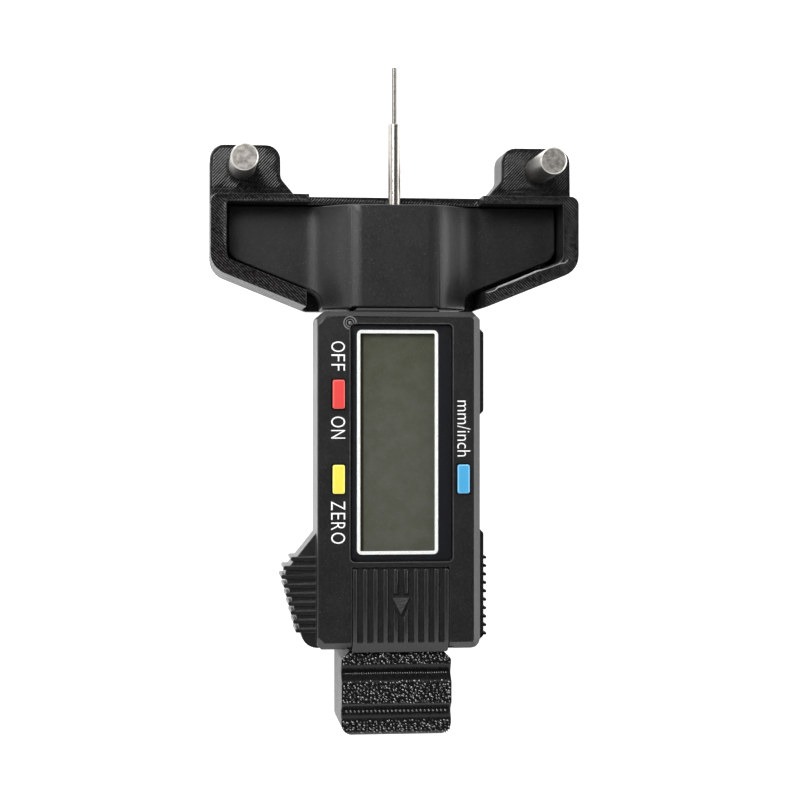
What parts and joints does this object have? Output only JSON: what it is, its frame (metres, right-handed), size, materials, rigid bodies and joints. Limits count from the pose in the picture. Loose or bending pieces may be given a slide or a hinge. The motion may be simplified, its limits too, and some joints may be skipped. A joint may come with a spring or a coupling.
{
  "type": "belt tension gauge",
  "caption": "Belt tension gauge: a digital depth slide in a black printed holder with steel belt pins, whose probe reads how far the belt gives way.",
  "frame": {"origin": "on the holder's back face, behind the inner face of the belt wall, where the crossbar is seated, in line with the probe's axis", "axes": "+X to the right across the holder, +Y along the probe towards the belt, +Z out of the display"},
  "size_m": [0.068, 0.1231, 0.025],
  "materials": {
    "printed_black": "printed plastic with fine layer lines and diagonal infill lines, satin black",
    "crossbar_black": "moulded plastic with a fine matt texture",
    "housing_black": "moulded plastic, satin black",
    "cover_black": "moulded plastic, satin black, ribbed",
    "pin_steel": "turned steel with ground ends",
    "beam_steel": "hardened steel, lengthwise brushed",
    "screw_steel": "zinc-plated steel",
    "scale_green": "glass-fibre strip with a printed pattern",
    "brass": "spring brass",
    "lens_clear": "clear plastic, glossy",
    "mask_black": "black print behind the lens",
    "line_white": "white print",
    "display_olive": "liquid crystal display, switched off, olive grey",
    "contact_rubber": "layered conductive rubber",
    "board_green": "glass-fibre board, green solder mask",
    "chip_black": "black epoxy drop",
    "switch_metal": "plated steel can",
    "cell_steel": "nickel-plated steel",
    "button_red": "soft-touch red plastic",
    "button_yellow": "soft-touch yellow plastic",
    "button_blue": "soft-touch blue plastic"
  },
  "bodies": {
    "frame": {"holder": "printed_black", "belt_pins": "pin_steel", "crossbar": "crossbar_black", "beam": "beam_steel", "beam_pins": "pin_steel", "stop_pin": "pin_steel", "scale_strip": "scale_green"},
    "slide": {"front_shell": "housing_black", "rear_shell": "housing_black", "shell_screws": "screw_steel", "wear_strip": "brass", "probe_rod": "pin_steel", "probe_tip": "pin_steel", "lens": "lens_clear", "lens_mask": "mask_black", "display_line": "line_white", "display": "display_olive", "contact_strips": "contact_rubber", "circuit_board": "board_green", "board_screws": "screw_steel", "controller_chip": "chip_black", "switches": "switch_metal", "battery": "cell_steel", "contact_plus": "brass", "contact_minus": "brass", "thumb_block": "printed_black", "block_screws": "screw_steel"},
    "power_key": {"power_button": "button_red"},
    "zero_key": {"zero_button": "button_yellow"},
    "unit_key": {"unit_button": "button_blue"},
    "cover": {"battery_cover": "cover_black"}
  },
  "joints": [
    {"name": "slide_travel", "type": "slide", "parent": "frame", "child": "slide", "axis": [0, 1, 0], "range_m": [-0.0254, 0]},
    {"name": "power_press", "type": "slide", "parent": "slide", "child": "power_key", "axis": [0, 0, -1], "range_m": [0, 0.0005], "stiffness_N_per_m": 800, "springref_m": -0.0005},
    {"name": "zero_press", "type": "slide", "parent": "slide", "child": "zero_key", "axis": [0, 0, -1], "range_m": [0, 0.0005], "stiffness_N_per_m": 800, "springref_m": -0.0005},
    {"name": "unit_press", "type": "slide", "parent": "slide", "child": "unit_key", "axis": [0, 0, -1], "range_m": [0, 0.0005], "stiffness_N_per_m": 800, "springref_m": -0.0005},
    {"name": "cover_slide", "type": "slide", "parent": "slide", "child": "cover", "axis": [0, -1, 0], "range_m": [0, 0.016]}
  ]
}
